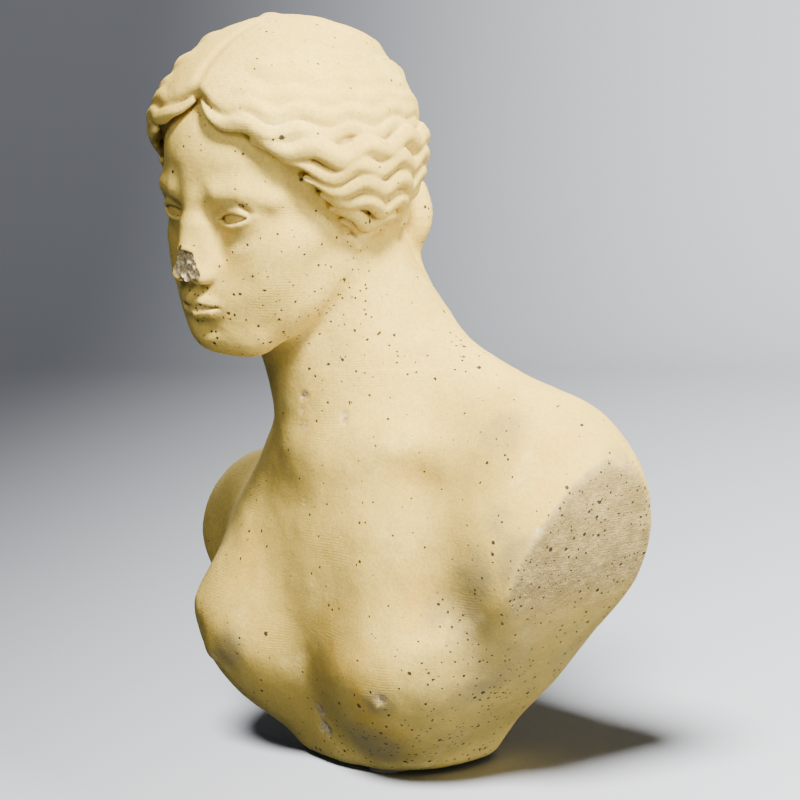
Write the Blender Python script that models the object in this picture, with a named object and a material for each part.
"""Portrait bust of a young woman with bound, wavy hair, cast in one pour of pale cement.

Metres, +Z up, the face towards -Y and the sitter's own left towards +X.  The figure is laid out in
modules of U (the head is 88 modules from chin to crown).  A steel rod and a cross bar, tied with
wire, are cast inside it, and four felt pads lift it off the table.
"""
import math

import bmesh
import bpy
from mathutils import Matrix, Vector

# ---------------------------------------------------------------- driving dimensions
U = 0.0016                        # one module, so the bust stands about 0.36 m high
CENTRE = Vector((2.64, -11.42))     # middle of the figure's bounding box, in modules
CLEAR = 0.0003                    # gap between pieces that touch

PAD_R, PAD_H = 0.009, 0.0018      # felt pads
PAD_X, PAD_FRONT, PAD_BACK = 13, -9, 23      # their middles, in modules
BASE_Z = PAD_H + CLEAR            # the casting's flat underside

ROD_R = 0.004                     # upright of the armature
ROD_FOOT, ROD_HEAD = Vector((0, 22, 1)), Vector((-8, -23, 168))
BAR_R = 0.003                     # shoulder bar, behind the rod
BAR_HALF, BAR_Z, BAR_RISE = 54, 64, 6
TIE_R, TIE_TURNS, TIE_PITCH = 0.0008, 3, 0.0020
TIE_HALF, TIE_DEEP = 0.0135, 0.0108

BODY_GRAIN, BODY_SOFT, BODY_FACES = 0.0035, 34, 0.09      # voxel, smoothing passes, share of faces kept
HEAD_GRAIN, HEAD_SOFT, HEAD_FACES = 0.0018, 9, 0.15

# ---------------------------------------------------------------- pose of the head
HEAD_SCALE = 0.88
HEAD_AT = Vector((-8.7, -28.5, 128.5))
HEAD_PIVOT = Vector((0, -5, 22))  # top of the neck, in the head's own modules
HEAD_TURN = (Matrix.Rotation(math.radians(7), 4, 'Z') @ Matrix.Rotation(math.radians(4), 4, 'Y')
             @ Matrix.Rotation(math.radians(11), 4, 'X'))
HEAD = (Matrix.Translation(HEAD_AT + HEAD_PIVOT * HEAD_SCALE) @ HEAD_TURN
        @ Matrix.Scale(HEAD_SCALE, 4) @ Matrix.Translation(-HEAD_PIVOT))
HAIR_MID, HAIR_HALF = Vector((0, 11, 60.5)), Vector((39, 41, 39.5))

# Outline that the figure is trimmed to: steep beside the shoulders, then running in to a small foot.
CUT_X, CUT_STEEP = 68, 0.173      # upper half width at the table's level, and its spread per module of height
FOOT_X, FOOT_SPREAD = 31, 0.82    # the same for the foot
CUT_BEND = 22                     # how softly the one runs into the other
FOOT_Y, FOOT_DEEP, DEEP_SPREAD = 5, 30, 0.95
SQUARE = 3.0                      # 2 would make each section an ellipse


def clear_scene():
    for ob in list(bpy.data.objects):
        bpy.data.objects.remove(ob, do_unlink=True)


def metres(point):
    """A point of the figure, from modules to metres in the shared frame."""
    return Vector(((point[0] - CENTRE.x) * U, (point[1] - CENTRE.y) * U, point[2] * U + BASE_Z))


def on_hair(turn, rise, lift=0.0):
    """Point over the hair, in head modules; turn goes from the front to the sitter's left, in degrees."""
    a, e = math.radians(turn), math.radians(rise)
    way = Vector((math.cos(e) * math.sin(a), -math.cos(e) * math.cos(a), math.sin(e)))
    return Vector(HAIR_MID[i] + (HAIR_HALF[i] + lift) * way[i] for i in range(3))


class Clay:
    """Overlapping closed lumps in one mesh, given in modules and stored in metres."""

    def __init__(self, frame=None):
        self.bm = bmesh.new()
        self.frame = frame or Matrix.Identity(4)

    def _place(self, verts):
        for v in verts:
            v.co = metres(self.frame @ v.co)

    def ball(self, middle, radii):
        shape = Matrix.Translation(middle) @ Matrix.Diagonal((*radii, 1))
        made = bmesh.ops.create_uvsphere(self.bm, u_segments=28, v_segments=18, radius=1, matrix=shape)
        self._place(made['verts'])

    def limb(self, a, b, ra, rb):
        """Two balls and the cone between them."""
        lump = bmesh.new()
        for middle, r in ((a, ra), (b, rb)):
            bmesh.ops.create_icosphere(lump, subdivisions=2, radius=r, matrix=Matrix.Translation(middle))
        hull = bmesh.ops.convex_hull(lump, input=lump.verts)
        bmesh.ops.delete(lump, geom=hull['geom_interior'] + hull['geom_unused'], context='VERTS')
        for v in lump.verts:
            v.co = metres(self.frame @ v.co)
        part = bpy.data.meshes.new('limb')
        lump.to_mesh(part)
        lump.free()
        self.bm.from_mesh(part)
        bpy.data.meshes.remove(part)

    def rope(self, points, radii):
        for a, b, ra, rb in zip(points, points[1:], radii, radii[1:]):
            self.limb(a, b, ra, rb)

    def build(self, name):
        mesh = bpy.data.meshes.new(name)
        self.bm.to_mesh(mesh)
        self.bm.free()
        ob = bpy.data.objects.new(name, mesh)
        bpy.context.scene.collection.objects.link(ob)
        return ob


def mesh_object(name, bm):
    bmesh.ops.recalc_face_normals(bm, faces=bm.faces)
    mesh = bpy.data.meshes.new(name)
    bm.to_mesh(mesh)
    bm.free()
    ob = bpy.data.objects.new(name, mesh)
    bpy.context.scene.collection.objects.link(ob)
    return ob


def finish_material(ob, name, colour, roughness, metallic=0.0):
    mat = bpy.data.materials.new(name)
    mat.use_nodes = True
    shader = mat.node_tree.nodes['Principled BSDF']
    shader.inputs['Base Color'].default_value = (*colour, 1)
    shader.inputs['Roughness'].default_value = roughness
    shader.inputs['Metallic'].default_value = metallic
    mat.diffuse_color = (*colour, 1)
    ob.data.materials.clear()
    ob.data.materials.append(mat)


# ---------------------------------------------------------------- the figure
def model_torso(clay):
    clay.ball((0, 7, 44), (59, 40, 62))                                    # rib cage
    clay.ball((0, -2, 50), (55, 31.5, 50))
    clay.ball((0, 14, 76), (60, 28, 32))
    clay.ball((0, 6, 4), (42, 33, 26))                                     # foot
    for s, top, r in ((1, 79, 27), (-1, 57, 23)):
        clay.ball((s * 66, 12, top), (r, r, r))                            # shoulder
        clay.limb((s * 40, 10, top - 2), (s * 66, 12, top - 2), r + 1, r)
        clay.limb((s * 66, 12, top), (s * 78, 12, top - 41), r, 21)        # arm
        clay.limb((s * 50, 6, top - 14), (s * 64, 10, top - 40), 30, 24)
        clay.limb((s * 28, -6, top / 2 + 26), (s * 62, 0, top - 4), 21, r - 6)
        clay.limb((s * 56, 8, 28), (s * 62, 8, 62), 25, r)                 # flank, up to the cut
        clay.limb((s * 5, 8, 106), (s * 46, 14, top + 8), 22, r - 9)
        clay.limb((s * 12, -2, 86), (s * 56, 3, top + 4), 20, r - 7)
        clay.ball((s * 34, 26, 54 + (top - 70) / 2), (30, 19, 36))         # shoulder blade
        clay.rope([(s * 7, -22, 90), (s * 24, -19, 91 + (top - 70) * 0.3),
                   (s * 42, -13, top + r - 11), (s * 60, 0, top + r - 6)], [4, 4, 5, 5.5])
    clay.limb((6, 5, 124), (57, 17, 95), 17, 14)                           # slopes of the neck
    clay.limb((-6, 5, 119), (-48, 15, 77), 16, 11)
    for x, y, z in ((35, -15, 26), (-31, -20.5, 31)):                      # breasts
        clay.ball((x * 0.8, -6, z + 20), (27, 24, 38))
        clay.ball((x, y + 1, z), (26.5, 23, 25))
    throat, nape = HEAD @ Vector((0, 5, 15)), HEAD @ Vector((0, 17, 34))
    clay.limb((0, 3, 80), throat, 28, 20.5)
    clay.limb((0, 12, 84), nape, 27, 23)
    clay.limb((0, 2, 70), (-2, -1, 104), 33, 23)
    for s in (1, -1):
        clay.rope([HEAD @ Vector((s * 22, 7, 28)), (s * 13 - 4, -15, 112), (s * 4.5, -21, 94)], [6.5, 6, 5])


def model_face(clay):
    clay.ball((0, 5, 54), (33, 40, 37))
    clay.ball((0, -2, 62), (31.5, 36, 30))                                 # forehead
    clay.ball((0, -6, 36), (28.5, 27.5, 38))
    clay.ball((0, -17, 32), (24.5, 16.5, 17))                              # cheeks
    clay.ball((0, -12, 19), (25, 22.5, 19))
    clay.ball((0, -28, 8), (12, 11, 9))                                    # chin
    for s in (1, -1):
        clay.limb((s * 21, -4, 26), (s * 8, -22, 10), 9.5, 11)
        clay.ball((s * 13.2, -28.4, 44.8), (8.4, 7.8, 6.4))                # eye
        clay.rope([(s * 3, -34.6, 50.5), (s * 9, -34.6, 53), (s * 17, -31.4, 52.8), (s * 24, -24.4, 49)],
                  [2.8, 3, 3, 2.6])                                        # brow
        clay.ball((s * 4.6, -37.6, 27.6), (3.8, 5, 3.6))
    clay.rope([(0, -32.5, 55), (0, -35.6, 46), (0, -40, 34), (0, -41.6, 29.4)], [4.6, 4.2, 4.8, 5])
    clay.limb((0, -27, 47), (0, -30, 31), 7.5, 9)                          # root of the nose
    clay.ball((0, -28, 17), (15, 10, 11))                                  # mouth
    clay.rope([(-9, -34, 18.4), (0, -37.6, 19.6), (9, -34, 18.4)], [1.8, 3, 1.8])
    clay.rope([(-8, -33.6, 14.2), (0, -37, 13.2), (8, -33.6, 14.2)], [1.8, 3.2, 1.8])


def wave_strand(s, level, sag, phase):
    """One waving strand, from the parting down past the temple and back to the bun."""
    points, radii = [], []
    for i in range(19):
        t = i / 18
        rise = level - sag * t + (52 - level * 0.6) * math.exp(-5.5 * t)
        rise += 3.2 * math.sin(2 * math.pi * (4.2 * t + phase)) * min(1, 4 * t)
        points.append(on_hair(s * (9 + 149 * t), rise, 1.8))
        radii.append(3.5 - 1.0 * abs(2 * t - 1) ** 2)
    return points, radii


def model_hair(clay):
    clay.ball(HAIR_MID, HAIR_HALF)
    clay.ball((0, 2, 70), (31, 30, 24))
    for s in (1, -1):
        clay.rope([(s * 2, -25, 84), (s * 13, -24, 80), (s * 25, -19, 71), (s * 32.5, -10, 58), (s * 34.5, 3, 45),
                   (s * 31, 22, 38), (s * 16, 40, 40)], [4, 5.5, 6.5, 6.5, 6, 6, 7])
        for k in range(7):
            clay.rope(*wave_strand(s, 26 - 11.5 * k, 10 - 7.5 * k, 0.16 * k))
    clay.ball((0, 24, 40), (30, 25, 22))
    clay.ball((0, 45, 43), (17, 13, 16))                                   # bun
    clay.rope([(0, 42, 30), (1, 36, 12), (2, 28, -6)], [11, 8, 5.5])       # lock on the nape


def half_width(z):
    """Half the trimmed width at a height, by the smooth minimum of its two slopes."""
    upper, lower = CUT_X + CUT_STEEP * z, FOOT_X + FOOT_SPREAD * z
    h = max(CUT_BEND - abs(upper - lower), 0) / CUT_BEND
    return min(upper, lower) - h * h * CUT_BEND / 4


def outline_block():
    """The block whose sides are the saw cuts and whose floor is the underside."""
    bm = bmesh.new()
    rings = []
    for z in (0, 10, 20, 32, 44, 52, 60, 68, 78, 90, 120, 260):
        a, b = half_width(z), FOOT_DEEP + DEEP_SPREAD * z
        ring = []
        for i in range(40):
            t = 2 * math.pi * i / 40
            c, s = math.cos(t), math.sin(t)
            ring.append(bm.verts.new(metres((a * math.copysign(abs(c) ** (2 / SQUARE), c),
                                             FOOT_Y + b * math.copysign(abs(s) ** (2 / SQUARE), s), z))))
        rings.append(ring)
    for low, high in zip(rings, rings[1:]):
        for i in range(40):
            j = (i + 1) % 40
            bm.faces.new((low[i], low[j], high[j], high[i]))
    bm.faces.new(rings[0][::-1])
    bm.faces.new(rings[-1])
    return mesh_object('cutter_outline', bm)


def cut(ob, cutter, way='DIFFERENCE'):
    cutter.hide_render = True
    cutter.display_type = 'WIRE'
    mod = ob.modifiers.new(cutter.name, 'BOOLEAN')
    mod.operation, mod.solver, mod.object = way, 'EXACT', cutter


# ---------------------------------------------------------------- armature and pads
def round_bar(name, a, b, radius, segments=20):
    """Cylinder between two points in metres."""
    axis = b - a
    bm = bmesh.new()
    stand = (Matrix.Translation((a + b) / 2) @ axis.to_track_quat('Z', 'Y').to_matrix().to_4x4())
    bmesh.ops.create_cone(bm, cap_ends=True, segments=segments, radius1=radius, radius2=radius,
                          depth=axis.length, matrix=stand)
    return mesh_object(name, bm)


def rod_line():
    return metres(ROD_FOOT), metres(ROD_HEAD)


def crossing():
    """The rod's axis point level with the shoulder bar."""
    a, b = rod_line()
    return a.lerp(b, (BAR_Z * U + BASE_Z - a.z) / (b.z - a.z))


def bar_line():
    """The bar lies one gap behind the rod, across the body, higher at the raised shoulder."""
    middle = crossing() + Vector((0, ROD_R + BAR_R + CLEAR + 0.0006, 0))
    half = Vector((BAR_HALF, 0, BAR_RISE)) * U
    return middle - half, middle + half


def tie_frame():
    """Middle of the knot and its three directions: slanting across the joint, deep, and along the coil."""
    middle = crossing() + Vector((0, BAR_R + CLEAR, 0))
    slant = Vector((1, 0, 1)).normalized()
    deep = Vector((0, 1, 0))
    return middle, slant, deep, slant.cross(deep)


def tie_wire():
    middle, slant, deep, along = tie_frame()
    rings = []
    steps, sides = 18, 6
    bm = bmesh.new()
    for i in range(TIE_TURNS * steps + 1):
        t = 2 * math.pi * i / steps
        out = slant * math.cos(t) + deep * math.sin(t)
        drift = along * TIE_PITCH * (i / steps - TIE_TURNS / 2)
        at = middle + slant * TIE_HALF * math.cos(t) + deep * TIE_DEEP * math.sin(t) + drift
        rings.append([bm.verts.new(at + (out * math.cos(a) + along * math.sin(a)) * TIE_R)
                      for a in (2 * math.pi * k / sides for k in range(sides))])
    for one, two in zip(rings, rings[1:]):
        for k in range(sides):
            n = (k + 1) % sides
            bm.faces.new((one[k], one[n], two[n], two[k]))
    bm.faces.new(rings[0][::-1])
    bm.faces.new(rings[-1])
    return mesh_object('tie_wire', bm)


def tie_pocket():
    """Space round the knot, one gap clear of the wire, open to the rod's channel."""
    middle, slant, deep, along = tie_frame()
    room = TIE_R + CLEAR + 0.0003
    axes = Matrix((slant, deep, along)).transposed().to_4x4()
    size = Matrix.Diagonal((TIE_HALF + room, TIE_DEEP + room, TIE_PITCH * TIE_TURNS + 2 * room, 1))
    bm = bmesh.new()
    bmesh.ops.create_cone(bm, cap_ends=True, segments=24, radius1=1, radius2=1, depth=1,
                          matrix=Matrix.Translation(middle) @ axes @ size)
    return mesh_object('cutter_tie_pocket', bm)


def channel(name, a, b, radius, open_start=False):
    """Cutter round a bar; an open start runs out through the underside."""
    way = (b - a).normalized()
    start = a - way * (0.02 if open_start else CLEAR)
    return round_bar(name, start, b + way * CLEAR, radius + CLEAR + 0.0001, 20)


def soft_lump(clay, name, grain, passes, kept):
    """The lumps run together, softened and thinned out to a plain mesh object."""
    ob = clay.build(name)
    blend = ob.modifiers.new('blend', 'REMESH')
    blend.mode, blend.voxel_size = 'VOXEL', grain
    soften = ob.modifiers.new('soften', 'SMOOTH')
    soften.factor, soften.iterations = 0.5, passes
    thin = ob.modifiers.new('thin', 'DECIMATE')
    thin.ratio = kept
    return ob


def build_casting():
    body = Clay()
    model_torso(body)
    head = Clay(HEAD)
    model_face(head)
    model_hair(head)
    casting = soft_lump(body, 'bust_casting', BODY_GRAIN, BODY_SOFT, BODY_FACES)
    crown = soft_lump(head, 'head_lump', HEAD_GRAIN, HEAD_SOFT, HEAD_FACES)
    cut(casting, crown, 'UNION')
    cut(casting, outline_block(), 'INTERSECT')
    for cutter in (channel('cutter_rod', *rod_line(), ROD_R, open_start=True),
                   channel('cutter_bar', *bar_line(), BAR_R), tie_pocket()):
        cut(casting, cutter)
    finish_material(casting, 'cast_stone', (0.74, 0.64, 0.43), 0.85)


def build_armature():
    rod = round_bar('armature_rod', *rod_line(), ROD_R)
    bar = round_bar('shoulder_bar', *bar_line(), BAR_R)
    for steel in (rod, bar):
        finish_material(steel, steel.name + '_steel', (0.33, 0.31, 0.29), 0.55, 0.9)
    wire = tie_wire()
    finish_material(wire, 'annealed_wire', (0.20, 0.19, 0.18), 0.6, 0.9)


def build_pads():
    for row, y in (('front', PAD_FRONT), ('back', PAD_BACK)):
        for side, x in (('left', PAD_X), ('right', -PAD_X)):
            foot = metres((x, y, 0))
            foot.z = 0
            pad = round_bar(f'felt_pad_{row}_{side}', foot, foot + Vector((0, 0, PAD_H)), PAD_R, 24)
            finish_material(pad, pad.name + '_felt', (0.10, 0.10, 0.09), 0.95)


clear_scene()
build_casting()
build_armature()
build_pads()
